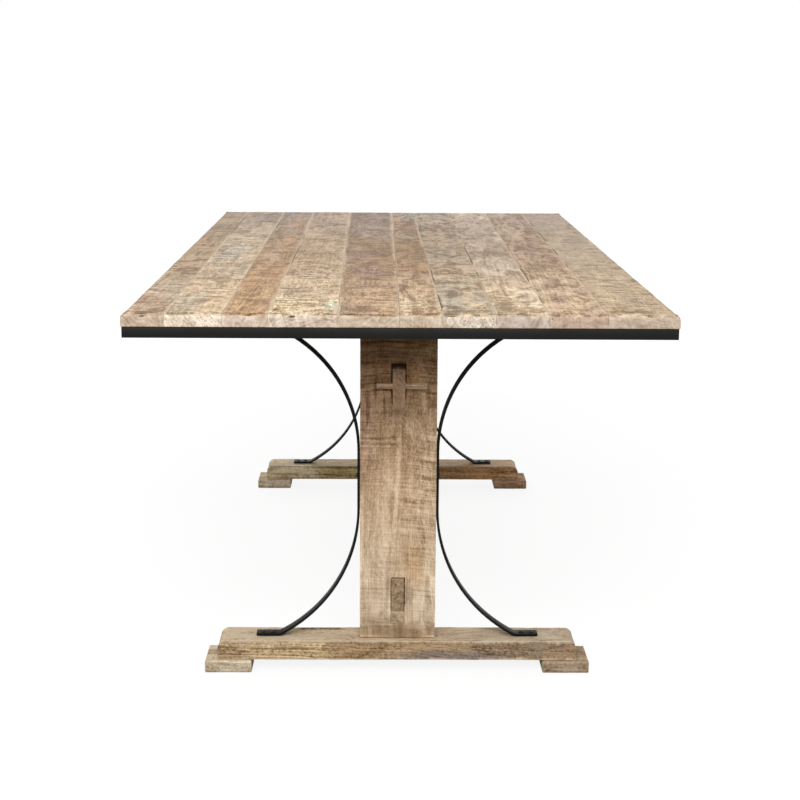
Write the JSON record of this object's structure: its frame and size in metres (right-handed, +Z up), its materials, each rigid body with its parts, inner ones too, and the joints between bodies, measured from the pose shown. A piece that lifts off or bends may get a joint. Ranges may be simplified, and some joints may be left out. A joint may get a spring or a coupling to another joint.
{
  "type": "trestle dining table",
  "caption": "Rectangular plank-topped dining table on two trestles with curved iron braces, a steel edge frame and two stretchers, the upper one locked by loose keys.",
  "frame": {"origin": "on the floor under the middle of the table", "axes": "+X across the table to the right, +Y along the table away from the front end, +Z up"},
  "size_m": [1, 2, 0.765],
  "materials": {
    "top_board": "rough-sawn, waxed",
    "trestle_wood": "rough-sawn, waxed",
    "key_wood": "planed, waxed",
    "frame_steel": "satin black",
    "brace_iron": "satin black",
    "black_screw": "satin black",
    "zinc_screw": "zinc plated"
  },
  "bodies": {
    "root": {"block_screws_back": "zinc_screw", "block_screws_front": "zinc_screw", "brace_back_left": "brace_iron", "brace_back_right": "brace_iron", "brace_front_left": "brace_iron", "brace_front_right": "brace_iron", "brace_screws_back": "black_screw", "brace_screws_front": "black_screw", "crossbar_back": "frame_steel", "crossbar_front": "frame_steel", "crossbar_middle": "frame_steel", "foot_beam_back": "trestle_wood", "foot_beam_front": "trestle_wood", "foot_block_back_left": "trestle_wood", "foot_block_back_right": "trestle_wood", "foot_block_front_left": "trestle_wood", "foot_block_front_right": "trestle_wood", "frame_end_back": "frame_steel", "frame_end_front": "frame_steel", "frame_rail_left": "frame_steel", "frame_rail_right": "frame_steel", "head_beam_back": "trestle_wood", "head_beam_front": "trestle_wood", "head_screws_back": "zinc_screw", "head_screws_front": "zinc_screw", "leg_back": "trestle_wood", "leg_bolts_back": "zinc_screw", "leg_bolts_front": "zinc_screw", "leg_front": "trestle_wood", "lower_stretcher": "trestle_wood", "lower_wedge_back": "key_wood", "lower_wedge_front": "key_wood", "top_plank_01": "top_board", "top_plank_02": "top_board", "top_plank_03": "top_board", "top_plank_04": "top_board", "top_plank_05": "top_board", "top_plank_06": "top_board", "top_plank_07": "top_board", "top_plank_08": "top_board", "top_plank_09": "top_board", "top_plank_10": "top_board", "top_screws": "zinc_screw", "upper_stretcher": "trestle_wood", "wedge_pins": "zinc_screw"},
    "front_key": {"key_front": "key_wood"},
    "back_key": {"key_back": "key_wood"}
  },
  "joints": [
    {"name": "front_key_slide", "type": "slide", "parent": "root", "child": "front_key", "axis": [1, 0, 0], "range_m": [0, 0.055]},
    {"name": "back_key_slide", "type": "slide", "parent": "root", "child": "back_key", "axis": [-1, 0, 0], "range_m": [0, 0.055]}
  ]
}
